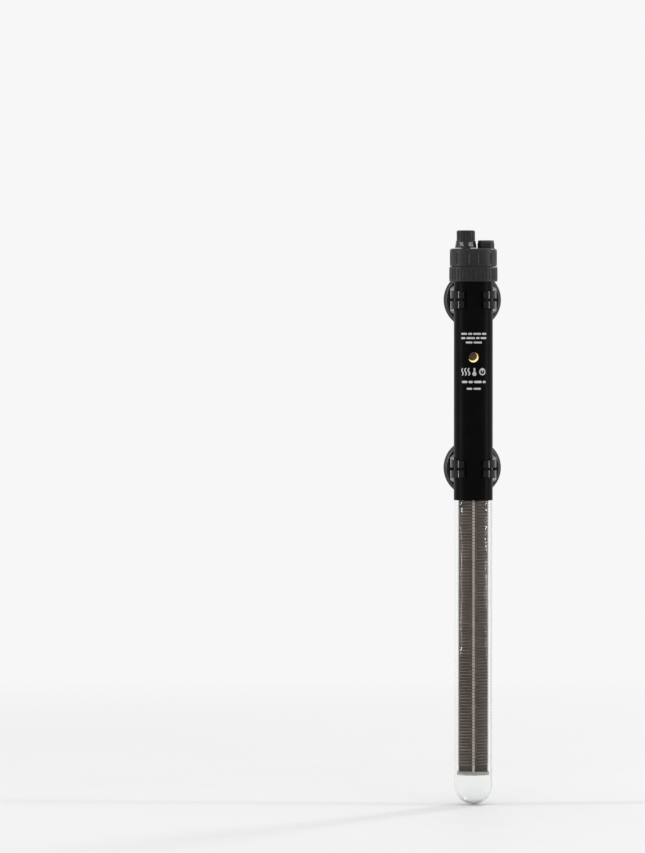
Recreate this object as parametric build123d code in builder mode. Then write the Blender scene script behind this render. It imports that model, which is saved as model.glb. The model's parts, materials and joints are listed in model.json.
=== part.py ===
from build123d import *
from math import pi, radians, sqrt, tan
import os

# Submersible aquarium heater, millimetres.
# The heater stands upright: +Z runs up the tube and +Y points at the tank wall.
# The origin is the centre of the lower suction cup's lip, on the tank wall.

# ---- driving dimensions -------------------------------------------------------------
TUBE_Y = -28.7            # tube axis, this far in front of the wall
BOTTOM_Z = -223.0         # lowest point of the glass
TOP_Z = 158.0             # top of the dial knob: 381 mm overall

GLASS_R = 12.5
GLASS_WALL = 1.5
GLASS_BORE_R = GLASS_R - GLASS_WALL
GLASS_TOP = 136.0
DOME_Z = BOTTOM_Z + GLASS_R   # where the straight tube meets the round bottom

SLEEVE_R = 12.9           # black sleeve shrunk over the glass
SLEEVE_BOTTOM = -20.8
SLEEVE_TOP = 125.4        # just inside the collar's flange
LIGHT_Z = 73.9            # height of the indicator lamp and its hole in the sleeve
LIGHT_HOLE_R = 3.4

COLLAR_R = 16.0           # screwed collar that pulls the head onto the glass
COLLAR_BOTTOM = 124.0
COLLAR_TOP = 134.0
COLLAR_FLANGE = 1.8
COLLAR_BORE_R = 14.75
COLLAR_RIBS = 36
CAP_SKIRT_R = 14.6
CAP_SKIRT_BOTTOM = 128.3
CAP_R = 15.6
CAP_BOTTOM = 134.3
CAP_TOP = 146.0
CAP_CAVITY_R = 10.5
CAP_DECK = 3.0
GASKET_T = 1.0

DIAL_X = -5.0             # the dial's axis, left of the tube axis
SPINDLE_R = 3.0
SPINDLE_BORE_R = 3.05
SPINDLE_BOSS_R = 4.2
SPINDLE_BOSS_BOTTOM = 136.5
KNOB_R = 7.2
KNOB_GRIP_R = 6.1
KNOB_BOTTOM = 146.4
KNOB_FLUTES = 20

GLAND_X = 8.3             # cord gland's axis, right of the tube axis
GLAND_BOSS_R = 5.6
GLAND_BORE_R = 5.0
GLAND_BOSS_TOP = 150.0
GLAND_FLOOR = 138.6
CORD_BORE_R = 3.4

BOARD_W = 17.0
BOARD_T = 1.6
BOARD_FACE = 4.0          # front face of the board, this far behind the tube axis
BOARD_BOTTOM = -14.0
BOARD_TOP = 122.0
LEAD_R = 0.3
LEAD_HOLE_R = 0.4
LEAD_TAIL = 1.3           # how far a lead stands out behind the board

FIN_TIP_R = 9.7           # ceramic former of the element
FIN_T = 1.6
FORMER_TOP = -19.6
FORMER_BOTTOM = -201.0
WIRE_R = 0.3
WIRE_COIL_R = 10.05
WIRE_PITCH = 2.0
WIRE_TURNS_EACH = 8       # the winding is made as spans of this many turns
WIRE_SPANS = 11
WIRE_TOP = -21.4
WIRE_BOTTOM = WIRE_TOP - WIRE_PITCH * WIRE_TURNS_EACH * WIRE_SPANS
LEAD_IN_OFFSET = 7.4 / sqrt(2)     # lead to the top of the winding, along X and Y
LEAD_BACK_OFFSET = 4.4 / sqrt(2)   # lead to the foot of the winding

CLIP_BORE_R = 13.0        # spring clip round the sleeve
CLIP_R = 15.2
CLIP_ROOT_HALF = 9.75     # half height of the clip at the plate
CLIP_SIDE_HALF = 7.3      # half height beside the tube
CLIP_TIP_HALF = 5.0       # half height at the finger tips
CLIP_OPENING = 25.0       # degrees from the front to each finger tip
CLIP_SLOT = 2.0
SADDLE_W = 17.0           # block between the clip and the plate
SADDLE_START = 10.5       # its front, this far behind the tube axis
PLATE_R = 17.2
PLATE_FRONT = -11.2
PLATE_BACK = -9.2
PLATE_RIBS = 16
PLATE_RIB_T = 1.0
BUTTON_POCKET_R = 5.2
NECK_HOLE_R = 3.15
CUP_R = 19.15
CUP_FLAT = (17.6, 18.8)   # the flat ring of the lip that lies on the wall
CUP_NECK_R = 3.05
CUP_BUTTON_R = 4.5
BRACKET_HEIGHTS = {"lower": 0.0, "upper": 112.0}

os.makedirs("parts", exist_ok=True)


def on_tube(z=0.0):
    """The horizontal plane at height z, centred on the tube's axis."""
    return Plane(origin=(0, TUBE_Y, z))


def on_board(x, z, in_front=0.0):
    """The plane at (x, z) facing forwards, this far in front of the board."""
    return Plane(origin=(x, TUBE_Y + BOARD_FACE - in_front, z), x_dir=(1, 0, 0), z_dir=(0, -1, 0))


def save(piece, label):
    """Name a finished piece and write its STEP file."""
    piece.part.label = label
    export_step(piece.part, f"parts/{label}.step")


def tube(plane, height, outer, inner):
    """A ring of rectangular section standing on a plane."""
    with BuildPart() as ring:
        with BuildSketch(plane):
            Circle(outer)
            Circle(inner, mode=Mode.SUBTRACT)
        extrude(amount=height)
    return ring


# ---- glass, sleeve and head -----------------------------------------------------------
with BuildPart() as glass_tube:
    with BuildSketch(Plane(origin=(0, TUBE_Y, 0), x_dir=(1, 0, 0), z_dir=(0, -1, 0))):
        with BuildLine():
            outside = CenterArc((0, DOME_Z), GLASS_R, -90, 90)
            inside = CenterArc((0, DOME_Z), GLASS_BORE_R, -90, 90)
            Polyline(outside @ 1, (GLASS_R, GLASS_TOP), (GLASS_BORE_R, GLASS_TOP), inside @ 1)
            Line(outside @ 0, inside @ 0)
        make_face()
    revolve(axis=Axis((0, TUBE_Y, 0), (0, 0, 1)))
    rim = glass_tube.faces().filter_by(GeomType.PLANE).sort_by(Axis.Z)[-1]
    fillet(rim.edges(), 0.35)
save(glass_tube, "glass_tube")

with BuildPart() as outer_sleeve:
    with BuildSketch(on_tube(SLEEVE_BOTTOM)):
        Circle(SLEEVE_R)
        Circle(GLASS_R, mode=Mode.SUBTRACT)
    extrude(amount=SLEEVE_TOP - SLEEVE_BOTTOM)
    with BuildSketch(Plane(origin=(0, TUBE_Y, LIGHT_Z), x_dir=(1, 0, 0), z_dir=(0, -1, 0))):
        Circle(LIGHT_HOLE_R)
    extrude(amount=SLEEVE_R + 1, mode=Mode.SUBTRACT)
save(outer_sleeve, "outer_sleeve")

tube_seal_ring = tube(
    on_tube(COLLAR_BOTTOM + COLLAR_FLANGE),
    CAP_SKIRT_BOTTOM - COLLAR_BOTTOM - COLLAR_FLANGE,
    CAP_SKIRT_R,
    GLASS_R,
)
save(tube_seal_ring, "tube_seal_ring")

with BuildPart() as lock_collar:
    with BuildSketch(on_tube(COLLAR_BOTTOM)):
        Circle(COLLAR_R)
    extrude(amount=COLLAR_TOP - COLLAR_BOTTOM)
    rims = lock_collar.edges().filter_by(GeomType.CIRCLE)
    chamfer(rims, 0.6)
    with BuildSketch(on_tube(COLLAR_BOTTOM + COLLAR_FLANGE)):
        Circle(COLLAR_BORE_R)
    extrude(amount=COLLAR_TOP - COLLAR_BOTTOM, mode=Mode.SUBTRACT)
    with BuildSketch(on_tube(COLLAR_BOTTOM - 1)):
        Circle(SLEEVE_R + 0.15)
    extrude(amount=COLLAR_FLANGE + 2, mode=Mode.SUBTRACT)
    with BuildSketch(on_tube(COLLAR_BOTTOM + 1.4)):
        with PolarLocations(COLLAR_R + 0.35, COLLAR_RIBS):
            Circle(0.75)
    extrude(amount=COLLAR_TOP - COLLAR_BOTTOM - 2.8, mode=Mode.SUBTRACT)
save(lock_collar, "lock_collar")

rim_gasket = tube(on_tube(GLASS_TOP), GASKET_T, GLASS_R, GLASS_BORE_R - 0.2)
save(rim_gasket, "rim_gasket")

with BuildPart() as head_cap:
    with BuildSketch(on_tube(CAP_BOTTOM)):
        Circle(CAP_R)
    extrude(amount=CAP_TOP - CAP_BOTTOM)
    top_rim = head_cap.faces().sort_by(Axis.Z)[-1].edges()
    fillet(top_rim, 1.6)
    with BuildSketch(on_tube(CAP_SKIRT_BOTTOM)):
        Circle(CAP_SKIRT_R)
    extrude(amount=CAP_BOTTOM - CAP_SKIRT_BOTTOM)
    # the gland's boss stands up through the deck
    with BuildSketch(on_tube(CAP_TOP - CAP_DECK)):
        with Locations((GLAND_X, 0)):
            Circle(GLAND_BOSS_R)
    extrude(amount=GLAND_BOSS_TOP - CAP_TOP + CAP_DECK)
    boss_rim = head_cap.faces().sort_by(Axis.Z)[-1].edges()
    fillet(boss_rim, 0.8)
    # the glass goes in from below, up to the gasket
    with BuildSketch(on_tube(CAP_SKIRT_BOTTOM)):
        Circle(GLASS_R + 0.1)
    extrude(amount=GLASS_TOP + GASKET_T - CAP_SKIRT_BOTTOM, mode=Mode.SUBTRACT)
    with BuildSketch(on_tube(GLASS_TOP)):
        Circle(CAP_CAVITY_R)
    extrude(amount=CAP_TOP - CAP_DECK - GLASS_TOP, mode=Mode.SUBTRACT)
    # the spindle's bearing boss hangs under the deck
    with BuildSketch(on_tube(SPINDLE_BOSS_BOTTOM)):
        with Locations((DIAL_X, 0)):
            Circle(SPINDLE_BOSS_R)
    extrude(amount=CAP_TOP - SPINDLE_BOSS_BOTTOM - 1)
    with BuildSketch(on_tube(SPINDLE_BOSS_BOTTOM - 1)):
        with Locations((DIAL_X, 0)):
            Circle(SPINDLE_BORE_R)
    extrude(amount=CAP_TOP - SPINDLE_BOSS_BOTTOM + 2, mode=Mode.SUBTRACT)
    with BuildSketch(on_tube(GLAND_FLOOR)):
        with Locations((GLAND_X, 0)):
            Circle(GLAND_BORE_R)
    extrude(amount=GLAND_BOSS_TOP - GLAND_FLOOR + 1, mode=Mode.SUBTRACT)
    # coarse grip flats round the cap
    with BuildSketch(on_tube(CAP_BOTTOM + 1.6)):
        with PolarLocations(CAP_R + 1.6, 12, start_angle=15):
            Circle(2.1)
    extrude(amount=7.0, mode=Mode.SUBTRACT)
save(head_cap, "head_cap")

POTTING_T = 2.9
with BuildPart() as cord_potting:
    with BuildSketch(on_tube(GLAND_FLOOR)):
        with Locations((GLAND_X, 0)):
            Circle(GLAND_BORE_R)
            Circle(CORD_BORE_R - 0.2, mode=Mode.SUBTRACT)
    extrude(amount=POTTING_T)
save(cord_potting, "cord_potting")

GROMMET_TOP = 151.4
with BuildPart() as cord_grommet:
    with BuildSketch(on_tube(GLAND_FLOOR + POTTING_T)):
        with Locations((GLAND_X, 0)):
            Circle(GLAND_BORE_R)
    extrude(amount=GLAND_BOSS_TOP - GLAND_FLOOR - POTTING_T)
    with BuildSketch(on_tube(GLAND_BOSS_TOP)):
        with Locations((GLAND_X, 0)):
            Circle(GLAND_BORE_R + 0.35)
    extrude(amount=GROMMET_TOP - GLAND_BOSS_TOP)
    lip_edge = cord_grommet.faces().sort_by(Axis.Z)[-1].edges()
    fillet(lip_edge, 0.7)
    with BuildSketch(on_tube(GLAND_FLOOR)):
        with Locations((GLAND_X, 0)):
            Circle(CORD_BORE_R)
    extrude(amount=GROMMET_TOP - GLAND_FLOOR + 1, mode=Mode.SUBTRACT)
save(cord_grommet, "cord_grommet")

# ---- dial, spindle and the potentiometer that they turn ---------------------------------
SPINDLE_FOOT = 122.5
STEM_R = 1.75             # the spindle's foot and the potentiometer's shaft
CLIP_GROOVE_Z = 135.3
CLIP_GROOVE_T = 0.8
CLIP_GROOVE_R = 2.3
RING_R = 0.45             # section of the two spindle O-rings
RING_GROOVE_R = 2.1
RING_HEIGHTS = (139.0, 142.0)
SPINDLE_TOP = 155.5
FLAT_DEPTH = 0.8          # the flat that keys the knob to the spindle

with BuildPart() as dial_spindle:
    with BuildSketch(on_tube(SPINDLE_FOOT)):
        with Locations((DIAL_X, 0)):
            Circle(STEM_R)
    extrude(amount=SPINDLE_TOP - SPINDLE_FOOT)
    with BuildSketch(on_tube(CLIP_GROOVE_Z - 1.3)):
        with Locations((DIAL_X, 0)):
            Circle(SPINDLE_R)
    extrude(amount=SPINDLE_TOP - CLIP_GROOVE_Z + 1.3)
    chamfer(dial_spindle.faces().sort_by(Axis.Z)[-1].edges(), 0.4)
    grooves = [(CLIP_GROOVE_Z, CLIP_GROOVE_T, CLIP_GROOVE_R)]
    grooves += [(z - 0.55, 1.1, RING_GROOVE_R) for z in RING_HEIGHTS]
    for groove_z, groove_t, groove_r in grooves:
        with BuildSketch(on_tube(groove_z)):
            with Locations((DIAL_X, 0)):
                Circle(SPINDLE_R + 1)
                Circle(groove_r, mode=Mode.SUBTRACT)
        extrude(amount=groove_t, mode=Mode.SUBTRACT)
    with BuildSketch(on_tube(KNOB_BOTTOM + 1)):
        with Locations((DIAL_X, SPINDLE_R)):
            Rectangle(2 * SPINDLE_R, 2 * FLAT_DEPTH)
    extrude(amount=SPINDLE_TOP - KNOB_BOTTOM, mode=Mode.SUBTRACT)
save(dial_spindle, "dial_spindle")

with BuildPart() as spindle_o_rings:
    for ring_z in RING_HEIGHTS:
        with Locations(on_tube(ring_z)):
            with Locations((DIAL_X, 0, 0)):
                Torus(RING_GROOVE_R + RING_R, RING_R)
save(spindle_o_rings, "spindle_o_rings")

with BuildPart() as spindle_clip:
    with BuildSketch(on_tube(CLIP_GROOVE_Z + 0.05)):
        with Locations((DIAL_X, 0)):
            Circle(4.5)
            Circle(CLIP_GROOVE_R + 0.02, mode=Mode.SUBTRACT)
        with Locations((DIAL_X, 3.2)):
            Rectangle(3.4, 4.0, mode=Mode.SUBTRACT)
        with Locations((DIAL_X - 3.1, 0), (DIAL_X + 3.1, 0)):
            Circle(0.55, mode=Mode.SUBTRACT)
    extrude(amount=CLIP_GROOVE_T - 0.1)
save(spindle_clip, "spindle_clip")

with BuildPart() as dial_knob:
    with BuildSketch(on_tube(KNOB_BOTTOM)):
        with Locations((DIAL_X, 0)):
            Circle(KNOB_R)
    extrude(amount=4.6, taper=9)
    with BuildSketch(on_tube(KNOB_BOTTOM)):
        with Locations((DIAL_X, 0)):
            Circle(KNOB_GRIP_R)
    extrude(amount=TOP_Z - KNOB_BOTTOM)
    knob_top = dial_knob.faces().sort_by(Axis.Z)[-1].edges()
    fillet(knob_top, 1.0)
    with BuildSketch(on_tube(KNOB_BOTTOM + 4.9)):
        with Locations((DIAL_X, 0)):
            with PolarLocations(KNOB_GRIP_R + 0.35, KNOB_FLUTES, start_angle=9):
                Circle(0.7)
    extrude(amount=TOP_Z - KNOB_BOTTOM, mode=Mode.SUBTRACT)
    # screwdriver slot across the top, its ends rounded
    with BuildSketch(on_tube(TOP_Z - 1.6)):
        with Locations((DIAL_X, 0)):
            SlotOverall(9.0, 1.8, rotation=90)
    extrude(amount=2, mode=Mode.SUBTRACT)
    # keyed hole for the spindle
    with BuildSketch(on_tube(KNOB_BOTTOM - 1)):
        with Locations((DIAL_X, 0)):
            Circle(SPINDLE_R + 0.02)
    extrude(amount=SPINDLE_TOP - KNOB_BOTTOM + 1.1, mode=Mode.SUBTRACT)
    with BuildSketch(on_tube(KNOB_BOTTOM + 1.2)):
        with Locations((DIAL_X, SPINDLE_R - FLAT_DEPTH + 0.5)):
            Rectangle(2 * SPINDLE_R - 1.6, 0.9)
    extrude(amount=SPINDLE_TOP - KNOB_BOTTOM - 1.2)
save(dial_knob, "dial_knob")

POT_TOP = 112.0
POT_BOTTOM = 105.0
POT_SHAFT_TOP = 122.0
with BuildPart() as spindle_coupling:
    with BuildSketch(on_tube(117.0)):
        with Locations((DIAL_X, 0)):
            Circle(3.4)
            Circle(STEM_R + 0.02, mode=Mode.SUBTRACT)
    extrude(amount=11.0)
save(spindle_coupling, "spindle_coupling")

with BuildPart() as pot_rotor:
    with BuildSketch(on_tube(POT_BOTTOM + 1)):
        with Locations((DIAL_X, 0)):
            Circle(STEM_R)
    extrude(amount=POT_SHAFT_TOP - POT_BOTTOM - 1)
    with BuildSketch(on_tube(POT_BOTTOM + 2.2)):
        with Locations((DIAL_X, 0)):
            Circle(3.2)
    extrude(amount=1.2)
save(pot_rotor, "pot_rotor")

POT_W = 9.0
POT_FRONT = -4.6
with BuildPart() as pot_body:
    with BuildSketch(on_tube(POT_BOTTOM)):
        with Locations((DIAL_X, (POT_FRONT + BOARD_FACE) / 2)):
            Rectangle(POT_W, BOARD_FACE - POT_FRONT)
    extrude(amount=POT_TOP - POT_BOTTOM)
    chamfer(pot_body.edges().filter_by(Axis.Z), 0.5)
    with BuildSketch(on_tube(POT_BOTTOM + 0.9)):
        with Locations((DIAL_X, 0)):
            Circle(3.3)
    extrude(amount=2.7, mode=Mode.SUBTRACT)
    with BuildSketch(on_tube(POT_BOTTOM + 3)):
        with Locations((DIAL_X, 0)):
            Circle(STEM_R + 0.05)
    extrude(amount=POT_TOP - POT_BOTTOM, mode=Mode.SUBTRACT)
save(pot_body, "pot_body")

# ---- circuit board and what is soldered to it ---------------------------------------------
POT_PINS = [(DIAL_X + step, POT_BOTTOM + 2.0) for step in (-2.54, 0, 2.54)]
LIGHT_PINS = [(-1.27, LIGHT_Z), (1.27, LIGHT_Z)]
TRIAC_Z = 20.0
TRIAC_PINS = [(step, TRIAC_Z - 12.0) for step in (-2.54, 0, 2.54)]
FILM_CAP_Z = 58.0
FILM_CAP_PINS = [(-5.0, FILM_CAP_Z), (5.0, FILM_CAP_Z)]
ELECTROLYTIC_Z = 92.0
ELECTROLYTIC_X = 2.4
ELECTROLYTIC_PINS = [(ELECTROLYTIC_X - 1.25, ELECTROLYTIC_Z), (ELECTROLYTIC_X + 1.25, ELECTROLYTIC_Z)]
CHIP_Z = 41.0
CHIP_PINS = [(side * 3.81, CHIP_Z + step * 2.54) for side in (-1, 1) for step in (-1.5, -0.5, 0.5, 1.5)]
RESISTOR_HEIGHTS = (33.5, 49.5, 67.0, 81.0)
RESISTOR_PINS = [(side * 5.08, z) for z in RESISTOR_HEIGHTS for side in (-1, 1)]
SENSOR_Z = -4.0
SENSOR_PINS = [(-5.9, SENSOR_Z), (-3.4, SENSOR_Z)]
FUSE_Z = -8.0
FUSE_PINS = [(3.5, FUSE_Z - 2), (3.5, FUSE_Z + 12)]
ALL_PINS = (
    POT_PINS + LIGHT_PINS + TRIAC_PINS + FILM_CAP_PINS + ELECTROLYTIC_PINS
    + CHIP_PINS + RESISTOR_PINS + SENSOR_PINS + FUSE_PINS
)


def straight_leads(pins, in_front, label, radius=LEAD_R):
    """Leads that run from in front of the board to just behind it."""
    with BuildPart() as leads:
        for x, z in pins:
            with BuildSketch(on_board(x, z, in_front)):
                Circle(radius)
            extrude(amount=-(in_front + BOARD_T + LEAD_TAIL))
    save(leads, label)


with BuildPart() as circuit_board:
    with BuildSketch(on_board(0, (BOARD_TOP + BOARD_BOTTOM) / 2)):
        RectangleRounded(BOARD_W, BOARD_TOP - BOARD_BOTTOM, 1.0)
    extrude(amount=-BOARD_T)
    for pin_x, pin_z in ALL_PINS:
        with BuildSketch(on_board(pin_x, pin_z)):
            Circle(LEAD_HOLE_R)
        extrude(amount=-BOARD_T, mode=Mode.SUBTRACT)
save(circuit_board, "circuit_board")

with BuildPart() as solder_joints:
    for pin_x, pin_z in ALL_PINS:
        with BuildSketch(on_board(pin_x, pin_z, -BOARD_T)):
            Circle(0.95)
        extrude(amount=-0.8, taper=25)
        with BuildSketch(on_board(pin_x, pin_z, -BOARD_T)):
            Circle(LEAD_R + 0.01)
        extrude(amount=-0.8, mode=Mode.SUBTRACT)
save(solder_joints, "solder_joints")

straight_leads(POT_PINS, 0.0, "pot_terminals")

LIGHT_BASE = 2.6          # the lamp's flange stands this far in front of the board
LIGHT_R = 3.0
LIGHT_LENGTH = 11.0
with BuildPart() as indicator_led:
    with BuildSketch(on_board(0, LIGHT_Z, LIGHT_BASE)):
        Circle(LIGHT_R + 0.3)
    extrude(amount=1.0)
    with BuildSketch(on_board(0, LIGHT_Z, LIGHT_BASE)):
        Circle(LIGHT_R)
    extrude(amount=LIGHT_LENGTH)
    dome_edge = indicator_led.faces().sort_by(Axis.Y)[0].edges()
    fillet(dome_edge, LIGHT_R - 0.1)
save(indicator_led, "indicator_led")
straight_leads(LIGHT_PINS, LIGHT_BASE, "led_legs")

TRIAC_T = 4.5
TAB_T = 1.3
with BuildPart() as triac:
    with BuildSketch(on_board(0, TRIAC_Z, TAB_T)):
        Rectangle(10.0, 9.0)
    extrude(amount=TRIAC_T - TAB_T)
    chamfer(triac.faces().sort_by(Axis.Y)[0].edges(), 0.5)
save(triac, "triac")

with BuildPart() as triac_tab:
    with BuildSketch(on_board(0, TRIAC_Z + 3.0)):
        Rectangle(10.0, 15.0)
        with Locations((0, 4.7)):
            Circle(1.8, mode=Mode.SUBTRACT)
    extrude(amount=TAB_T)
save(triac_tab, "triac_tab")

with BuildPart() as triac_legs:
    for pin_x, pin_z in TRIAC_PINS:
        # out of the body's lower edge, then back through the board
        with BuildLine() as leg_path:
            in_front = TUBE_Y + BOARD_FACE - 2.6
            FilletPolyline(
                (pin_x, in_front, TRIAC_Z - 4.5),
                (pin_x, in_front, pin_z),
                (pin_x, TUBE_Y + BOARD_FACE + BOARD_T + LEAD_TAIL, pin_z),
                radius=1.0,
            )
        with BuildSketch(Plane(origin=leg_path.wires()[0] @ 0, z_dir=leg_path.wires()[0] % 0)):
            Circle(LEAD_R)
        sweep(path=leg_path.wires()[0])
save(triac_legs, "triac_legs")

with BuildPart() as film_capacitor:
    with BuildSketch(on_board(0, FILM_CAP_Z, 0.2)):
        RectangleRounded(13.0, 6.0, 0.4)
    extrude(amount=8.0)
    fillet(film_capacitor.faces().sort_by(Axis.Y)[0].edges(), 0.35)
save(film_capacitor, "film_capacitor")
straight_leads(FILM_CAP_PINS, 0.2, "film_capacitor_leads")

with BuildPart() as electrolytic_capacitor:
    with BuildSketch(on_board(ELECTROLYTIC_X, ELECTROLYTIC_Z, 0.3)):
        Circle(4.0)
    extrude(amount=9.5)
    fillet(electrolytic_capacitor.edges().filter_by(GeomType.CIRCLE), 0.5)
    with BuildSketch(on_board(ELECTROLYTIC_X, ELECTROLYTIC_Z, 1.4)):
        Circle(4.2)
        Circle(3.8, mode=Mode.SUBTRACT)
    extrude(amount=0.7, mode=Mode.SUBTRACT)
save(electrolytic_capacitor, "electrolytic_capacitor")
straight_leads(ELECTROLYTIC_PINS, 0.3, "electrolytic_leads")

with BuildPart() as control_chip:
    with BuildSketch(on_board(0, CHIP_Z, 0.6)):
        Rectangle(6.2, 9.6)
        with Locations((0, 4.8)):
            Circle(0.8, mode=Mode.SUBTRACT)
    extrude(amount=3.2)
save(control_chip, "control_chip")

with BuildPart() as chip_pins:
    for pin_x, pin_z in CHIP_PINS:
        side = 1 if pin_x > 0 else -1
        with BuildSketch(on_board(pin_x, pin_z, 2.0)):
            Rectangle(0.42, 0.42)
        extrude(amount=-(2.0 + BOARD_T + LEAD_TAIL))
        with BuildSketch(on_board(pin_x - side * 0.25, pin_z, 2.0)):
            with Locations((-side * 0.1, 0)):
                Rectangle(0.7, 0.5)
        extrude(amount=0.3)
save(chip_pins, "chip_pins")

with BuildPart() as resistors:
    for resistor_z in RESISTOR_HEIGHTS:
        centre = (0, TUBE_Y + BOARD_FACE - 1.7, resistor_z)
        with Locations(Plane(origin=centre, z_dir=(1, 0, 0))):
            Cylinder(0.95, 6.3)
            with Locations((0, 0, -2.5), (0, 0, 2.5)):
                Cylinder(1.2, 1.3)
save(resistors, "resistors")

with BuildPart() as resistor_leads:
    for pin_x, pin_z in RESISTOR_PINS:
        side = 1 if pin_x > 0 else -1
        in_front = TUBE_Y + BOARD_FACE - 1.7
        with BuildLine() as leg_path:
            FilletPolyline(
                (side * 3.15, in_front, pin_z),
                (pin_x, in_front, pin_z),
                (pin_x, TUBE_Y + BOARD_FACE + BOARD_T + LEAD_TAIL, pin_z),
                radius=0.6,
            )
        with BuildSketch(Plane(origin=leg_path.wires()[0] @ 0, z_dir=leg_path.wires()[0] % 0)):
            Circle(LEAD_R)
        sweep(path=leg_path.wires()[0])
save(resistor_leads, "resistor_leads")

SENSOR_REACH = 9.5        # the bead stands this far in front of the board, near the glass
with BuildPart() as temperature_sensor:
    with BuildSketch(on_board((SENSOR_PINS[0][0] + SENSOR_PINS[1][0]) / 2, SENSOR_Z, SENSOR_REACH)):
        Ellipse(2.2, 1.6)
    extrude(amount=2.4)
    fillet(temperature_sensor.edges(), 0.7)
save(temperature_sensor, "temperature_sensor")
straight_leads(SENSOR_PINS, SENSOR_REACH, "sensor_leads")

FUSE_STAND = 3.0          # height of the fuse's axis above the board
with BuildPart() as thermal_fuse:
    with BuildSketch(Plane(origin=(FUSE_PINS[0][0], TUBE_Y + BOARD_FACE - FUSE_STAND, FUSE_Z + 0.4))):
        Circle(1.8)
    extrude(amount=9.2)
    fillet(thermal_fuse.faces().sort_by(Axis.Z)[-1].edges(), 0.5)
    with BuildSketch(Plane(origin=(FUSE_PINS[0][0], TUBE_Y + BOARD_FACE - FUSE_STAND, FUSE_Z + 0.4))):
        Circle(0.9)
    extrude(amount=-0.8)
save(thermal_fuse, "thermal_fuse")

with BuildPart() as fuse_leads:
    for (pin_x, pin_z), body_z in zip(FUSE_PINS, (FUSE_Z - 0.4, FUSE_Z + 9.6)):
        in_front = TUBE_Y + BOARD_FACE - FUSE_STAND
        with BuildLine() as leg_path:
            FilletPolyline(
                (pin_x, in_front, body_z),
                (pin_x, in_front, pin_z),
                (pin_x, TUBE_Y + BOARD_FACE + BOARD_T + LEAD_TAIL, pin_z),
                radius=0.8,
            )
        with BuildSketch(Plane(origin=leg_path.wires()[0] @ 0, z_dir=leg_path.wires()[0] % 0)):
            Circle(LEAD_R)
        sweep(path=leg_path.wires()[0])
save(fuse_leads, "fuse_leads")

SPACER_T = 3.0
SPACER_HEIGHTS = {"upper": 98.5, "lower": 0.5}
for name, spacer_z in SPACER_HEIGHTS.items():
    with BuildPart() as board_spacer:
        with BuildSketch(on_tube(spacer_z)):
            Circle(GLASS_BORE_R - 0.1)
            Circle(GLASS_BORE_R - 1.7, mode=Mode.SUBTRACT)
            with Locations((0, BOARD_FACE + BOARD_T / 2)):
                Rectangle(BOARD_W + 0.1, BOARD_T + 0.1, mode=Mode.SUBTRACT)
        extrude(amount=SPACER_T)
    save(board_spacer, f"{name}_board_spacer")

# ---- heating element -------------------------------------------------------------------------
BARRIER_T = 2.0
BARRIER_Z = -18.6
LEAD_IN = (LEAD_IN_OFFSET, LEAD_IN_OFFSET)
LEAD_BACK = (LEAD_BACK_OFFSET, LEAD_BACK_OFFSET)
ELEMENT_LEAD_R = 0.45
with BuildPart() as heat_barrier_disc:
    with BuildSketch(on_tube(BARRIER_Z)):
        Circle(GLASS_BORE_R - 0.15)
        with Locations(LEAD_IN, LEAD_BACK):
            Circle(0.95, mode=Mode.SUBTRACT)
    extrude(amount=BARRIER_T)
save(heat_barrier_disc, "heat_barrier_disc")

with BuildPart() as element_former:
    with BuildSketch(on_tube(FORMER_BOTTOM)):
        Circle(2.4)
        for turn in (0, 90):
            Rectangle(2 * FIN_TIP_R, FIN_T, rotation=turn)
        Circle(1.1, mode=Mode.SUBTRACT)
    extrude(amount=FORMER_TOP - FORMER_BOTTOM)
save(element_former, "element_former")

with BuildPart() as former_stem:
    with BuildSketch(on_tube(FORMER_BOTTOM - 2.6)):
        Circle(1.0)
    extrude(amount=BARRIER_Z - FORMER_BOTTOM + 2.6)
save(former_stem, "former_stem")

with BuildPart() as lower_spider:
    with BuildSketch(on_tube(FORMER_BOTTOM - 2.0)):
        Circle(GLASS_BORE_R - 0.2)
        with PolarLocations(7.2, 4, start_angle=45):
            Circle(3.0, mode=Mode.SUBTRACT)
        Circle(1.05, mode=Mode.SUBTRACT)
    extrude(amount=2.0)
save(lower_spider, "lower_spider")

# the winding starts and ends at 45 degrees, between two fins
with BuildPart() as heating_wire:
    coil_plane = Plane(origin=(0, TUBE_Y, WIRE_BOTTOM), x_dir=(1, 1, 0), z_dir=(0, 0, 1))
    span_height = WIRE_PITCH * WIRE_TURNS_EACH
    with BuildLine(coil_plane) as coil_path:
        for span in range(WIRE_SPANS):
            Helix(WIRE_PITCH, span_height, WIRE_COIL_R, center=(0, 0, span * span_height))
    coil = coil_path.wires()[0]
    with BuildSketch(Plane(origin=coil @ 0, z_dir=coil % 0)):
        Circle(WIRE_R)
    sweep(path=coil, is_frenet=True)
save(heating_wire, "heating_wire")

with BuildPart() as element_leads:
    for (lead_x, lead_y), lead_foot in ((LEAD_IN, WIRE_TOP - 0.6), (LEAD_BACK, WIRE_BOTTOM - 0.6)):
        with BuildSketch(on_tube(lead_foot)):
            with Locations((lead_x, lead_y)):
                Circle(ELEMENT_LEAD_R)
        extrude(amount=BOARD_BOTTOM - lead_foot)
save(element_leads, "element_leads")

with BuildPart() as lead_sleeves:
    for (lead_x, lead_y), foot in ((LEAD_IN, WIRE_TOP + 1.0), (LEAD_BACK, WIRE_BOTTOM + 1.0)):
        with BuildSketch(on_tube(foot)):
            with Locations((lead_x, lead_y)):
                Circle(0.85)
                Circle(ELEMENT_LEAD_R + 0.01, mode=Mode.SUBTRACT)
        extrude(amount=BOARD_BOTTOM - 0.5 - foot)
save(lead_sleeves, "lead_sleeves")

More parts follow.
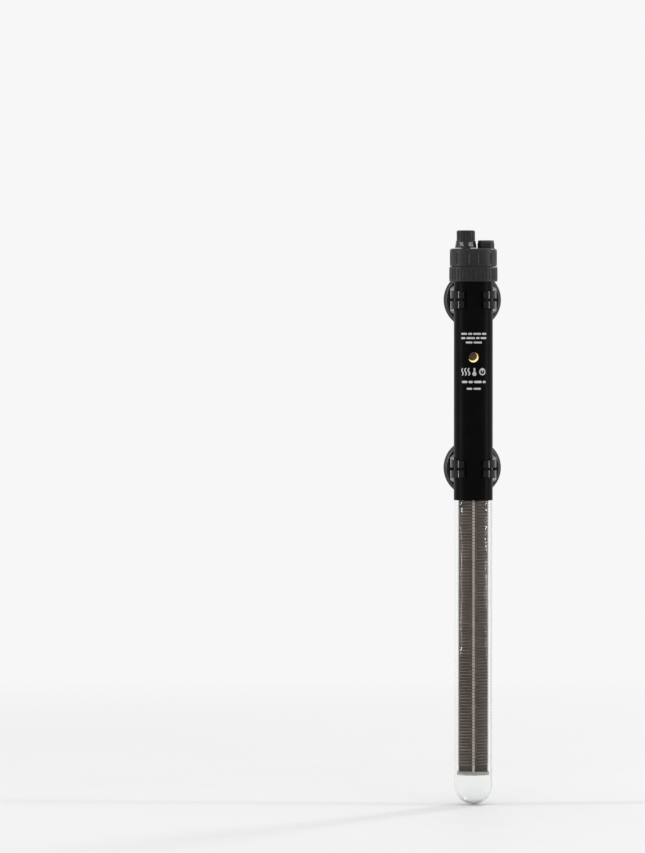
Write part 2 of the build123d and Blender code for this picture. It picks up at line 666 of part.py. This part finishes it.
# crimps that join each lead to its end of the winding, lying outwards at 45 degrees
with BuildPart() as lead_crimps:
    for (lead_x, lead_y), crimp_z in ((LEAD_IN, WIRE_TOP), (LEAD_BACK, WIRE_BOTTOM)):
        reach = WIRE_COIL_R - WIRE_R - 0.05 - lead_x * sqrt(2)
        with BuildSketch(
            Plane(origin=(lead_x, TUBE_Y + lead_y, crimp_z), x_dir=(0, 0, 1), z_dir=(1, 1, 0))
        ):
            Rectangle(1.6, 1.5)
        extrude(amount=reach)
        with BuildSketch(on_tube(crimp_z - 0.8)):
            with Locations((lead_x, lead_y)):
                Circle(0.95)
        extrude(amount=1.6)
        with BuildSketch(on_tube(crimp_z - 0.8)):
            with Locations((lead_x, lead_y)):
                Circle(ELEMENT_LEAD_R + 0.01)
        extrude(amount=1.6, mode=Mode.SUBTRACT)
save(lead_crimps, "lead_crimps")

# ---- brackets and suction cups ------------------------------------------------------------
for name, centre_z in BRACKET_HEIGHTS.items():
    with BuildPart() as bracket:
        # the clip's ring, and the saddle that joins it to the plate
        with BuildSketch(on_tube(centre_z - CLIP_ROOT_HALF)):
            Circle(CLIP_R)
            with Locations((0, (SADDLE_START + PLATE_FRONT - TUBE_Y) / 2)):
                Rectangle(SADDLE_W, PLATE_FRONT - TUBE_Y - SADDLE_START)
            Circle(CLIP_BORE_R, mode=Mode.SUBTRACT)
            reach = 2 * CLIP_R
            half_gap = reach * tan(radians(CLIP_OPENING))
            with BuildLine():
                Polyline((0, 0), (half_gap, -reach), (-half_gap, -reach), close=True)
            make_face(mode=Mode.SUBTRACT)
        extrude(amount=2 * CLIP_ROOT_HALF)
        # from the side, the fingers narrow towards their round tips
        with BuildSketch(Plane.YZ):
            with BuildLine():
                Polyline(
                    (TUBE_Y + 20, centre_z + CLIP_ROOT_HALF),
                    (TUBE_Y + 11, centre_z + CLIP_ROOT_HALF),
                    (TUBE_Y + 1, centre_z + CLIP_SIDE_HALF),
                    (TUBE_Y - CLIP_R - 0.4, centre_z + CLIP_TIP_HALF),
                    (TUBE_Y - CLIP_R - 0.4, centre_z - CLIP_TIP_HALF),
                    (TUBE_Y + 1, centre_z - CLIP_SIDE_HALF),
                    (TUBE_Y + 11, centre_z - CLIP_ROOT_HALF),
                    (TUBE_Y + 20, centre_z - CLIP_ROOT_HALF),
                    close=True,
                )
            make_face()
            fillet(vertices().group_by(Axis.X)[0], 2.6)
        extrude(amount=2 * CLIP_R, both=True, mode=Mode.INTERSECT)
        # a slot splits each side into two fingers
        with BuildSketch(Plane.YZ):
            with Locations((TUBE_Y - 5, centre_z)):
                SlotOverall(28.0, CLIP_SLOT)
        extrude(amount=2 * CLIP_R, both=True, mode=Mode.SUBTRACT)
        # round carrier plate with a raised rim and short ribs on its front
        with BuildSketch(Plane(origin=(0, PLATE_BACK, centre_z), x_dir=(1, 0, 0), z_dir=(0, -1, 0))):
            Circle(PLATE_R)
        extrude(amount=PLATE_BACK - PLATE_FRONT)
        with BuildSketch(Plane(origin=(0, PLATE_FRONT, centre_z), x_dir=(1, 0, 0), z_dir=(0, -1, 0))):
            Circle(PLATE_R)
            Circle(PLATE_R - 1.2, mode=Mode.SUBTRACT)
            with PolarLocations((PLATE_R + 9.5) / 2, PLATE_RIBS, start_angle=180 / PLATE_RIBS):
                Rectangle(PLATE_R - 9.5, 0.9)
        extrude(amount=PLATE_RIB_T)
        # the tube passes through, and the pocket behind it holds the cup's button
        with BuildSketch(on_tube(centre_z - PLATE_R)):
            Circle(CLIP_BORE_R)
        extrude(amount=2 * PLATE_R, mode=Mode.SUBTRACT)
        with BuildSketch(Plane(origin=(0, PLATE_FRONT, centre_z), x_dir=(1, 0, 0), z_dir=(0, -1, 0))):
            Circle(BUTTON_POCKET_R)
        extrude(amount=8.0, mode=Mode.SUBTRACT)
        with BuildSketch(Plane(origin=(0, PLATE_BACK + 1, centre_z), x_dir=(1, 0, 0), z_dir=(0, -1, 0))):
            Circle(NECK_HOLE_R)
        extrude(amount=5.0, mode=Mode.SUBTRACT)
    save(bracket, f"{name}_bracket")

    with BuildPart() as suction_cup:
        with BuildSketch(Plane(origin=(0, 0, centre_z), x_dir=(1, 0, 0), z_dir=(0, 0, 1))):
            with BuildLine():
                # (radius, distance along Y): lip on the wall, shell, neck, then the button
                Line((CUP_FLAT[0], 0), (CUP_FLAT[1], 0))
                ThreePointArc((CUP_FLAT[1], 0), (CUP_R, -0.35), (CUP_R - 0.15, -0.8))
                ThreePointArc((CUP_R - 0.15, -0.8), (13.2, -5.9), (5.2, -8.85))
                Polyline((5.2, -8.85), (CUP_NECK_R, -8.85), (CUP_NECK_R, -11.4), (CUP_BUTTON_R, -11.4))
                Polyline((CUP_BUTTON_R, -11.4), (CUP_BUTTON_R, -13.2), (CUP_BUTTON_R - 1.0, -14.2))
                Polyline((CUP_BUTTON_R - 1.0, -14.2), (0, -14.2), (0, -6.6))
                ThreePointArc((0, -6.6), (10.5, -4.5), (CUP_FLAT[0], 0))
            make_face()
        revolve(axis=Axis((0, 0, centre_z), (0, 1, 0)))
    save(suction_cup, f"{name}_suction_cup")

print("winding: %.2f m of wire" % (2 * pi * WIRE_COIL_R * WIRE_TURNS_EACH * WIRE_SPANS / 1000))
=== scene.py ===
import bpy
import json
from math import cos, pi, radians, sin
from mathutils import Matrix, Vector


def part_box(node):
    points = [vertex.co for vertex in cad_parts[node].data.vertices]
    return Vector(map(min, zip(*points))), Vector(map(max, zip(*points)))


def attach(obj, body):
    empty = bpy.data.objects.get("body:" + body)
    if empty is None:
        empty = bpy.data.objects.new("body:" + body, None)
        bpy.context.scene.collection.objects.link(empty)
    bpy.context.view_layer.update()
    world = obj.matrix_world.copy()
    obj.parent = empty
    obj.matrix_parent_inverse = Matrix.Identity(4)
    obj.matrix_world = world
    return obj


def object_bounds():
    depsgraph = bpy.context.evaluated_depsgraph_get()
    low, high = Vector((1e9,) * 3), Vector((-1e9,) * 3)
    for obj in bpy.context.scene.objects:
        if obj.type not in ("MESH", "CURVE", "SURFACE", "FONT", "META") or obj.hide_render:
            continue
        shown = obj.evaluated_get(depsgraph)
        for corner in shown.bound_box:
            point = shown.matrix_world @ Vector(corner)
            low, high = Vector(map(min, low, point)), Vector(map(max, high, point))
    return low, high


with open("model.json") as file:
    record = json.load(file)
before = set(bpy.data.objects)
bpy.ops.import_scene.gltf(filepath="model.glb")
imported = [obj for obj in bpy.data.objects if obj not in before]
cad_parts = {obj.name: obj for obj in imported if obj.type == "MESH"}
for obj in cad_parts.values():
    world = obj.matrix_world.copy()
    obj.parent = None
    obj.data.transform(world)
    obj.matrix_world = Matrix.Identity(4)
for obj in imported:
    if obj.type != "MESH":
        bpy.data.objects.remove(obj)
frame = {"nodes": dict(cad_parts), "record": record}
cad_low, cad_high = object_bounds()
nodes = frame["nodes"]
MM = 0.001


# ---- camera: looks along +Y from far away, aimed left of the heater ----
IMAGE_H = 853
PIXELS_PER_MM = 1.508
HEATER_RIGHT_OF_CENTRE = 0.100      # the heater stands right of the picture's middle
CENTRE_HEIGHT = 0.028
CAMERA_DISTANCE = 4.0
CAMERA_ELEVATION = radians(1.2)
SENSOR = 36.0


def middle(node):
    low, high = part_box(node)
    return (low + high) / 2


tube_axis = middle("outer_sleeve")
camera_data = bpy.data.cameras.new("camera")
camera_data.sensor_width = SENSOR
camera_data.lens = SENSOR * CAMERA_DISTANCE / (IMAGE_H / PIXELS_PER_MM * MM)
camera_data.clip_end = 100.0
camera = bpy.data.objects.new("camera", camera_data)
aim = Vector((tube_axis.x - HEATER_RIGHT_OF_CENTRE, tube_axis.y, CENTRE_HEIGHT))
camera.location = aim + CAMERA_DISTANCE * Vector((0, -cos(CAMERA_ELEVATION), sin(CAMERA_ELEVATION)))
camera.rotation_euler = (pi / 2 - CAMERA_ELEVATION, 0, 0)
bpy.context.scene.collection.objects.link(camera)
bpy.context.scene.camera = camera
bpy.context.scene.view_settings.view_transform = "Standard"


# ---- materials ------------------------------------------------------------------------------
NOISE_LOW, NOISE_HIGH = 0.3, 0.7        # the middle range that a noise texture mostly stays in
BROAD_SHARE = 0.12                      # a surface's broad colour noise, as a share of its grain
STREAK_GRAIN = 260.0
STREAK_STRETCH = (1, 1, 0.06)
STREAK_DEPTH = 0.00001
FIN_HIGHLIGHT_START = 8.9 * MM               # the former's fins turn from painted shade to a pale painted highlight between these radii
FIN_HIGHLIGHT_END = 9.7 * MM
REFLECTION_SHIFT_X = 0.75 * MM                # centre of the painted shade in the lamp, up and left of its axis; a painted reflection lies round it
REFLECTION_SHIFT_Z = 0.85 * MM
REFLECTION_START = 2.55 * MM
REFLECTION_END = 4.2 * MM
PAINTED_REFLECTION_STRENGTH = 1.3


def new_material(name):
    material = bpy.data.materials.new(name)
    material.use_nodes = True
    return material, material.node_tree, material.node_tree.nodes["Principled BSDF"]


def noise(tree, scale, detail, stretch=(1, 1, 1)):
    """A noise texture in object space, scale in features per metre."""
    place = tree.nodes.new("ShaderNodeTexCoord")
    mapping = tree.nodes.new("ShaderNodeMapping")
    mapping.inputs["Scale"].default_value = stretch
    texture = tree.nodes.new("ShaderNodeTexNoise")
    texture.inputs["Scale"].default_value = scale
    texture.inputs["Detail"].default_value = detail
    tree.links.new(place.outputs["Object"], mapping.inputs["Vector"])
    tree.links.new(mapping.outputs["Vector"], texture.inputs["Vector"])
    return texture.outputs["Fac"]


def ramp(tree, value, stops):
    """A colour ramp over a value, from (position, colour) stops."""
    node = tree.nodes.new("ShaderNodeValToRGB")
    elements = node.color_ramp.elements
    while len(elements) < len(stops):
        elements.new(0.5)
    for element, (position, colour) in zip(elements, stops):
        element.position = position
        element.color = (*colour, 1)
    tree.links.new(value, node.inputs["Fac"])
    return node.outputs["Color"]


def spread(tree, value, low, high):
    """Maps the noise's middle range to low..high."""
    node = tree.nodes.new("ShaderNodeMapRange")
    node.inputs["From Min"].default_value = NOISE_LOW
    node.inputs["From Max"].default_value = NOISE_HIGH
    node.inputs["To Min"].default_value = low
    node.inputs["To Max"].default_value = high
    tree.links.new(value, node.inputs["Value"])
    return node.outputs["Result"]


def add_bump(tree, shader, height, depth):
    bump = tree.nodes.new("ShaderNodeBump")
    bump.inputs["Distance"].default_value = depth
    bump.inputs["Strength"].default_value = 1.0
    tree.links.new(height, bump.inputs["Height"])
    tree.links.new(bump.outputs["Normal"], shader.inputs["Normal"])


def surface(name, dark, light, rough, grain, depth, metal=0.0, stretch=(1, 1, 1), shine=0.5):
    """An opaque material whose colour, roughness and fine relief vary with a noise."""
    material, tree, shader = new_material(name)
    broad = noise(tree, grain * BROAD_SHARE, 3.0, stretch)
    fine = noise(tree, grain, 5.0, stretch)
    colour = ramp(tree, broad, ((NOISE_LOW, dark), (NOISE_HIGH, light)))
    tree.links.new(colour, shader.inputs["Base Color"])
    tree.links.new(spread(tree, fine, rough[0], rough[1]), shader.inputs["Roughness"])
    shader.inputs["Metallic"].default_value = metal
    shader.inputs["Specular IOR Level"].default_value = shine
    add_bump(tree, shader, fine, depth)
    return material


def clear(name, colour, rough, ior):
    """Clear glass or resin with faint drawn streaks along its length."""
    material, tree, shader = new_material(name)
    shader.inputs["Base Color"].default_value = (*colour, 1)
    shader.inputs["Transmission Weight"].default_value = 1.0
    shader.inputs["IOR"].default_value = ior
    streaks = noise(tree, STREAK_GRAIN, 2.0, STREAK_STRETCH)
    tree.links.new(spread(tree, streaks, rough[0], rough[1]), shader.inputs["Roughness"])
    add_bump(tree, shader, streaks, STREAK_DEPTH)
    return material


def off_axis(tree, centre, flat):
    """Distance in object space from a centre, measured along the axes that flat keeps."""
    place = tree.nodes.new("ShaderNodeTexCoord")
    moved = tree.nodes.new("ShaderNodeVectorMath")
    moved.operation = "SUBTRACT"
    moved.inputs[1].default_value = centre
    kept = tree.nodes.new("ShaderNodeVectorMath")
    kept.operation = "MULTIPLY"
    kept.inputs[1].default_value = flat
    length = tree.nodes.new("ShaderNodeVectorMath")
    length.operation = "LENGTH"
    tree.links.new(place.outputs["Object"], moved.inputs[0])
    tree.links.new(moved.outputs["Vector"], kept.inputs[0])
    tree.links.new(kept.outputs["Vector"], length.inputs[0])
    return length.outputs["Value"]


def banded(tree, value, low, high):
    """Maps low..high of a length to 0..1."""
    node = tree.nodes.new("ShaderNodeMapRange")
    node.inputs["From Min"].default_value = low
    node.inputs["From Max"].default_value = high
    tree.links.new(value, node.inputs["Value"])
    return node.outputs["Result"]


def former_ceramic():
    """Ceramic, dark from heat and from painted shade deep between its fins, with a painted highlight
    that makes the outer edges of the fins pale.
    """
    material, tree, shader = new_material("former")
    fine = noise(tree, 1600, 5.0)
    across = off_axis(tree, (tube_axis.x, tube_axis.y, 0), (1, 1, 0))
    fin_light_band = banded(tree, across, FIN_HIGHLIGHT_START, FIN_HIGHLIGHT_END)
    # painted shade near the axis, a painted highlight on the fins' outer edges
    colour = ramp(tree, fin_light_band, ((0.0, (0.030, 0.021, 0.016)), (0.45, (0.05, 0.038, 0.03)),
                               (0.9, (0.62, 0.57, 0.52))))
    mottled = tree.nodes.new("ShaderNodeMix")
    mottled.data_type = "RGBA"
    mottled.blend_type = "MULTIPLY"
    mottled.inputs["Factor"].default_value = 0.5
    tree.links.new(colour, mottled.inputs["A"])
    mottling = ramp(tree, fine, ((NOISE_LOW, (0.5, 0.45, 0.4)), (NOISE_HIGH, (1, 1, 1))))
    tree.links.new(mottling, mottled.inputs["B"])
    tree.links.new(mottled.outputs["Result"], shader.inputs["Base Color"])
    tree.links.new(spread(tree, fine, 0.45, 0.7), shader.inputs["Roughness"])
    add_bump(tree, shader, fine, 0.00004)
    return material


def lamp_lens():
    """Brown-amber lens with painted shade in its middle and a painted reflection, lit by emission, on
    its lower right rim.
    """
    material, tree, shader = new_material("lamp")
    lamp = middle("indicator_led")
    painted_shade_centre = (lamp.x - REFLECTION_SHIFT_X, 0, lamp.z + REFLECTION_SHIFT_Z)
    painted_reflection_band = banded(tree, off_axis(tree, painted_shade_centre, (1, 0, 1)), REFLECTION_START, REFLECTION_END)
    fine = noise(tree, 1500, 3.0)
    # painted light: dark painted shade in the middle, a bright amber painted reflection towards the
    # lower right rim, also used as emission colour
    glow = ramp(tree, painted_reflection_band, ((0.0, (0.022, 0.010, 0.005)), (0.12, (0.10, 0.035, 0.008)),
                            (0.35, (0.85, 0.50, 0.12)), (0.7, (1.0, 0.83, 0.42))))
    tree.links.new(glow, shader.inputs["Base Color"])
    tree.links.new(glow, shader.inputs["Emission Color"])
    shader.inputs["Emission Strength"].default_value = PAINTED_REFLECTION_STRENGTH
    shader.inputs["Specular IOR Level"].default_value = 0.12
    tree.links.new(spread(tree, fine, 0.12, 0.25), shader.inputs["Roughness"])
    add_bump(tree, shader, fine, 0.00001)
    return material


BLACK = (0.0012, 0.0012, 0.0013)
MATERIALS = {
    "glass": clear("glass", (0.955, 0.970, 0.965), (0.0, 0.02), 1.30),
    "sleeve": surface("sleeve", BLACK, (0.0020, 0.0020, 0.0022),
                      (0.30, 0.38), 900, 0.000008, shine=0.03),
    "head": surface("head", (0.010, 0.010, 0.011), (0.016, 0.016, 0.017),
                    (0.34, 0.46), 2600, 0.00002, shine=0.2),
    "knob": surface("knob", (0.011, 0.011, 0.012), (0.018, 0.018, 0.019),
                    (0.30, 0.42), 2600, 0.00002, shine=0.2),
    "clip": surface("clip", (0.0015, 0.0015, 0.0017), (0.003, 0.003, 0.0033),
                    (0.06, 0.10), 700, 0.00001, shine=0.16),
    "cup": surface("cup", (0.012, 0.012, 0.013), (0.022, 0.022, 0.023),
                   (0.18, 0.28), 1200, 0.00001, shine=0.35),
    "seal": surface("seal", (0.015, 0.015, 0.015), (0.03, 0.03, 0.03), (0.5, 0.65), 2200, 0.00004),
    "resin": surface("resin", (0.01, 0.01, 0.01), (0.03, 0.028, 0.025), (0.2, 0.4), 600, 0.00008),
    "white_plastic": surface("white_plastic", (0.66, 0.64, 0.58), (0.76, 0.74, 0.68),
                             (0.4, 0.5), 2000, 0.00002),
    "steel": surface("steel", (0.45, 0.45, 0.47), (0.62, 0.62, 0.64),
                     (0.2, 0.4), 2500, 0.00001, metal=1.0),
    "part_body": surface("part_body", (0.015, 0.015, 0.016), (0.035, 0.035, 0.036),
                         (0.4, 0.6), 3000, 0.00002),
    "board": surface("board", (0.012, 0.07, 0.03), (0.02, 0.11, 0.045), (0.25, 0.4), 1800, 0.00002),
    "solder": surface("solder", (0.55, 0.56, 0.58), (0.75, 0.76, 0.78),
                      (0.15, 0.35), 3000, 0.00002, metal=1.0),
    "lamp": lamp_lens(),
    "film": surface("film", (0.35, 0.03, 0.015), (0.5, 0.05, 0.03), (0.15, 0.3), 900, 0.00003),
    "can": surface("can", (0.01, 0.012, 0.04), (0.02, 0.02, 0.06), (0.2, 0.35), 1500, 0.00001),
    "resistor": surface("resistor", (0.2, 0.38, 0.5), (0.3, 0.5, 0.6), (0.3, 0.5), 2500, 0.00003),
    "bead": surface("bead", (0.02, 0.02, 0.02), (0.05, 0.04, 0.03), (0.15, 0.35), 2000, 0.00003),
    "mica": surface("mica", (0.35, 0.32, 0.27), (0.55, 0.5, 0.43), (0.4, 0.6), 900, 0.00003),
    "former": former_ceramic(),
    "wire": surface("wire", (0.09, 0.055, 0.038), (0.34, 0.235, 0.17),
                    (0.12, 0.22), 1500, 0.00001, metal=1.0),
    "copper": surface("copper", (0.5, 0.32, 0.2), (0.68, 0.5, 0.36),
                      (0.25, 0.4), 1500, 0.00001, metal=1.0),
    "sleeving": surface("sleeving", (0.6, 0.58, 0.5), (0.8, 0.78, 0.7),
                        (0.7, 0.9), 5000, 0.0001, stretch=(1, 1, 0.3)),
}
PRINT = surface("print_ink", (0.34, 0.34, 0.34), (0.46, 0.46, 0.45), (0.45, 0.6), 2500, 0.00001)

for part in frame["record"]["subparts"]:
    mesh = nodes[part["node"]].data
    mesh.materials.clear()
    mesh.materials.append(MATERIALS[part["material_slot"]])


# ---- printed marks, as thin strokes laid on a curved surface ----------------------------------
INK_T = 0.05 * MM
STROKE_STEP = 0.45 * MM
END_TURNS = (0.15, 0.5, 0.8)            # shares of a quarter turn round a stroke's rounded end
DOT_LENGTH = 1e-6


def outline(points, width):
    """Left and right edges of a stroke with rounded ends, as matching point lists."""
    half = width / 2
    path = [Vector(p) for p in points]
    if len(path) == 1:
        path = [path[0], path[0] + Vector((DOT_LENGTH, 0))]
    smooth = []
    for a, b in zip(path, path[1:]):
        steps = max(1, round((b - a).length / STROKE_STEP))
        smooth += [a.lerp(b, i / steps) for i in range(steps)]
    smooth.append(path[-1])
    along = [(smooth[min(i + 1, len(smooth) - 1)] - smooth[max(i - 1, 0)]).normalized()
             for i in range(len(smooth))]
    left, right = [], []
    for turn in END_TURNS:
        reach = half * sin(turn * pi / 2)
        back = smooth[0] - along[0] * half * cos(turn * pi / 2)
        side = Vector((-along[0].y, along[0].x)) * reach
        left.append(back + side)
        right.append(back - side)
    for point, way in zip(smooth, along):
        side = Vector((-way.y, way.x)) * half
        left.append(point + side)
        right.append(point - side)
    for turn in reversed(END_TURNS):
        reach = half * sin(turn * pi / 2)
        ahead = smooth[-1] + along[-1] * half * cos(turn * pi / 2)
        side = Vector((-along[-1].y, along[-1].x)) * reach
        left.append(ahead + side)
        right.append(ahead - side)
    return left, right


def print_marks(name, strokes, place, body):
    """One thin closed mesh for a set of (points, width) strokes; place(u, v, lift) gives 3-D."""
    verts, faces = [], []
    for points, width in strokes:
        left, right = outline(points, width)
        first = len(verts)
        for l, r in zip(left, right):
            for lift in (INK_T, -INK_T):
                verts.append(place(l.x, l.y, lift))
                verts.append(place(r.x, r.y, lift))
        count = len(left)
        for i in range(count - 1):
            a, b = first + 4 * i, first + 4 * (i + 1)
            faces += [(a, a + 1, b + 1, b), (a + 3, a + 2, b + 2, b + 3)]
            faces += [(a + 2, a, b, b + 2), (a + 1, a + 3, b + 3, b + 1)]
        last = first + 4 * (count - 1)
        faces += [(first + 1, first, first + 2, first + 3), (last, last + 1, last + 3, last + 2)]
    mesh = bpy.data.meshes.new(name)
    mesh.from_pydata(verts, [], faces)
    mesh.materials.append(PRINT)
    mesh.validate()
    piece = bpy.data.objects.new(name, mesh)
    bpy.context.scene.collection.objects.link(piece)
    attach(piece, body)


sleeve_low, sleeve_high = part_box("outer_sleeve")
SLEEVE_R = (sleeve_high.x - sleeve_low.x) / 2


def on_sleeve(height):
    """Places (across, up) on the front of the sleeve, about this height."""
    def place(u, v, lift):
        angle = u / SLEEVE_R
        radius = SLEEVE_R + lift
        return (tube_axis.x + radius * sin(angle), tube_axis.y - radius * cos(angle), height + v)
    return place


DASH_GAP = 0.55 * MM
DASH_SHARE = 0.62                       # a dash's thickness, as a share of the letter height
SHORTEST_DASH = 1e-5


def dashes(width, height, lengths):
    """A row of round-ended dashes that stands in for a line of small print."""
    total = sum(lengths) + DASH_GAP * (len(lengths) - 1)
    grow = width / total
    strokes, x = [], -width / 2
    thick = height * DASH_SHARE
    for length in lengths:
        end = x + length * grow
        start = x + thick / 2
        strokes.append((((start, 0), (max(end - thick / 2, start + SHORTEST_DASH), 0)), thick))
        x = end + DASH_GAP * grow
    return strokes


lamp_height = middle("indicator_led").z
# name, height above the lamp, width, letter height and dash lengths, all in mm
SMALL_PRINT = (
    ("small_print_1", 15.6, 18.0, 2.0, (4.2, 2.6, 5.0, 3.2)),
    ("small_print_2", 12.8, 18.0, 2.0, (3.0, 5.2, 2.2, 4.0)),
    ("small_print_3", 9.9, 11.0, 2.0, (3.6, 4.4)),
    ("supply_mark", -16.2, 17.0, 2.5, (3.4, 2.4, 4.2, 2.0)),
    ("type_mark", -20.7, 9.6, 2.0, (2.6, 3.4)),
)
for mark, above_lamp, width, height, lengths in SMALL_PRINT:
    strokes = dashes(width * MM, height * MM, [length * MM for length in lengths])
    print_marks(mark, strokes, on_sleeve(lamp_height + above_lamp * MM), "heater")


WAVE_STEPS = 14
WAVE_SWING = 0.55 * MM
RING_STEP = 0.3 * MM


def wave(x, height, width):
    """An upright heat wave."""
    half = height / 2
    points = [(x + WAVE_SWING * sin(2 * pi * i / WAVE_STEPS), -half + height * i / WAVE_STEPS)
              for i in range(WAVE_STEPS + 1)]
    return points, width


def ring(x, y, radius, width):
    """A round stroke."""
    steps = max(8, round(radius * 2 * pi / RING_STEP))
    points = [(x + radius * cos(2 * pi * i / steps), y + radius * sin(2 * pi * i / steps))
              for i in range(steps + 1)]
    return points, width


BOLD = 0.85 * MM
WAVE_PLACES = (-7.9 * MM, -5.6 * MM, -3.3 * MM)
WAVE_H = 4.2 * MM
THERMOMETER_X = 0.4 * MM
SWITCH_X = 5.9 * MM
SIGN_TOP = 2.1 * MM
SYMBOL_BELOW_LAMP = 9.5 * MM
symbol = [wave(place, WAVE_H, BOLD) for place in WAVE_PLACES]
symbol += [ring(THERMOMETER_X, -1.35 * MM, 0.95 * MM, BOLD)]
symbol += [(((THERMOMETER_X, -1.2 * MM), (THERMOMETER_X, SIGN_TOP)), 1.1 * MM)]
symbol += [ring(SWITCH_X, 0, 1.9 * MM, BOLD)]
symbol += [(((SWITCH_X, 0.2 * MM), (SWITCH_X, SIGN_TOP)), BOLD)]
print_marks("heat_symbol", symbol, on_sleeve(lamp_height - SYMBOL_BELOW_LAMP), "heater")


# ---- numbers round the dial's skirt --------------------------------------------------------------
DIGITS = {
    "0": [[(0, 0), (0, 2), (1, 2), (1, 0), (0, 0)]],
    "2": [[(0, 2), (1, 2), (1, 1), (0, 1), (0, 0), (1, 0)]],
    "4": [[(0, 2), (0, 1), (1, 1)], [(1, 2), (1, 0)]],
    "6": [[(1, 2), (0, 2), (0, 0), (1, 0), (1, 1), (0, 1)]],
    "7": [[(0, 2), (1, 2), (0.4, 0)]],
    "8": [[(0, 0), (0, 2), (1, 2), (1, 0), (0, 0)], [(0, 1), (1, 1)]],
}
knob_low, knob_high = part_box("dial_knob")
knob_axis = (knob_low + knob_high) / 2
KNOB_R = (knob_high.x - knob_low.x) / 2
SKIRT_TAPER = 0.1584      # tangent of the skirt's 9 degree slope
DIGIT_H = 2.1 * MM
DIGIT_W = 0.95 * MM
DIGIT_GAP = 0.55 * MM
DIGIT_INSET = 0.275 * MM
DIGIT_STROKE = 0.3 * MM
NUMBER_RISE = 2.3 * MM    # the numbers' middle above the skirt's lower edge
SCALE_START = -135
SCALE_SWEEP = 270


def on_skirt(angle, height):
    """Places (across, up) on the dial's tapered skirt, centred at an angle from the front."""
    def place(u, v, lift):
        radius = KNOB_R - SKIRT_TAPER * (height + v - knob_low.z) + lift
        turn = angle + u / radius
        return (knob_axis.x + radius * sin(turn), knob_axis.y - radius * cos(turn), height + v)
    return place


SCALE = (68, 72, 76, 80, 84, 88)
for step, number in enumerate(SCALE):
    strokes = []
    for column, digit in enumerate(str(number)):
        left = (column - 1) * (DIGIT_W + DIGIT_GAP) + DIGIT_INSET
        for line in DIGITS[digit]:
            points = [(left + x * DIGIT_W, (y / 2 - 0.5) * DIGIT_H) for x, y in line]
            strokes.append((points, DIGIT_STROKE))
    angle = radians(SCALE_START + SCALE_SWEEP * step / (len(SCALE) - 1))
    print_marks(f"dial_number_{number}", strokes, on_skirt(angle, knob_low.z + NUMBER_RISE), "dial")

_, cap_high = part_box("head_cap")
GLAND_RISE = 4.0 * MM     # the gland's boss stands this far above the cap's deck
POINTER_START = 0.6 * MM
POINTER_END = 3.4 * MM
POINTER_W = 0.9 * MM
mark_front = knob_axis.y - KNOB_R


def on_deck(u, v, lift):
    return (u, v, cap_high.z - GLAND_RISE + lift)


pointer_ends = ((knob_axis.x, mark_front - POINTER_START), (knob_axis.x, mark_front - POINTER_END))
pointer = [(pointer_ends, POINTER_W)]
print_marks("pointer_mark", pointer, on_deck, "heater")


# ---- floor, world and lights -----------------------------------------------------------------------
FLOOR_SIDE = 30.0
BACKDROP = 0.93
FADE_START = 0.3
FADE_END = 1.3


def floor_surface():
    """Pale floor that fades into the backdrop far from the heater."""
    material = surface("floor", (0.60, 0.60, 0.60), (0.61, 0.61, 0.61), (0.6, 0.7), 40, 0.0001)
    tree = material.node_tree
    glow = tree.nodes.new("ShaderNodeEmission")
    glow.inputs["Strength"].default_value = BACKDROP
    fade = tree.nodes.new("ShaderNodeMixShader")
    distance = off_axis(tree, (0, 0, 0), (1, 1, 0))
    tree.links.new(banded(tree, distance, FADE_START, FADE_END), fade.inputs[0])
    tree.links.new(tree.nodes["Principled BSDF"].outputs["BSDF"], fade.inputs[1])
    tree.links.new(glow.outputs["Emission"], fade.inputs[2])
    tree.links.new(fade.outputs["Shader"], tree.nodes["Material Output"].inputs["Surface"])
    return material


floor_mesh = bpy.data.meshes.new("floor")
corner = FLOOR_SIDE / 2
floor_mesh.from_pydata(
    [(-corner, -corner, cad_low.z), (corner, -corner, cad_low.z),
     (corner, corner, cad_low.z), (-corner, corner, cad_low.z)], [], [(0, 1, 2, 3)])
floor_mesh.materials.append(floor_surface())
floor = bpy.data.objects.new("floor", floor_mesh)
bpy.context.scene.collection.objects.link(floor)

world = bpy.data.worlds.new("world")
world.use_nodes = True
world.node_tree.nodes["Background"].inputs["Color"].default_value = (1, 1, 1, 1)
world.node_tree.nodes["Background"].inputs["Strength"].default_value = BACKDROP
bpy.context.scene.world = world


def soft_light(name, place, side, power):
    light_data = bpy.data.lights.new(name, "AREA")
    light_data.shape = "RECTANGLE"
    light_data.size, light_data.size_y = side
    light_data.energy = power
    light = bpy.data.objects.new(name, light_data)
    light.location = place
    light.rotation_euler = (tube_axis - Vector(place)).to_track_quat("-Z", "Y").to_euler()
    bpy.context.scene.collection.objects.link(light)


# name, place, width and height in metres, power in watts
LIGHTS = (
    ("left_light", (-1.5, -0.25, 0.5), (0.07, 1.6), 11),
    ("right_light", (1.5, -0.15, 0.4), (0.06, 1.6), 10),
    ("back_light", (0.9, 1.3, 1.1), (0.25, 0.5), 9),
    ("top_light", (0.1, -0.9, 1.8), (1.2, 1.2), 8),
)
for light in LIGHTS:
    soft_light(*light)
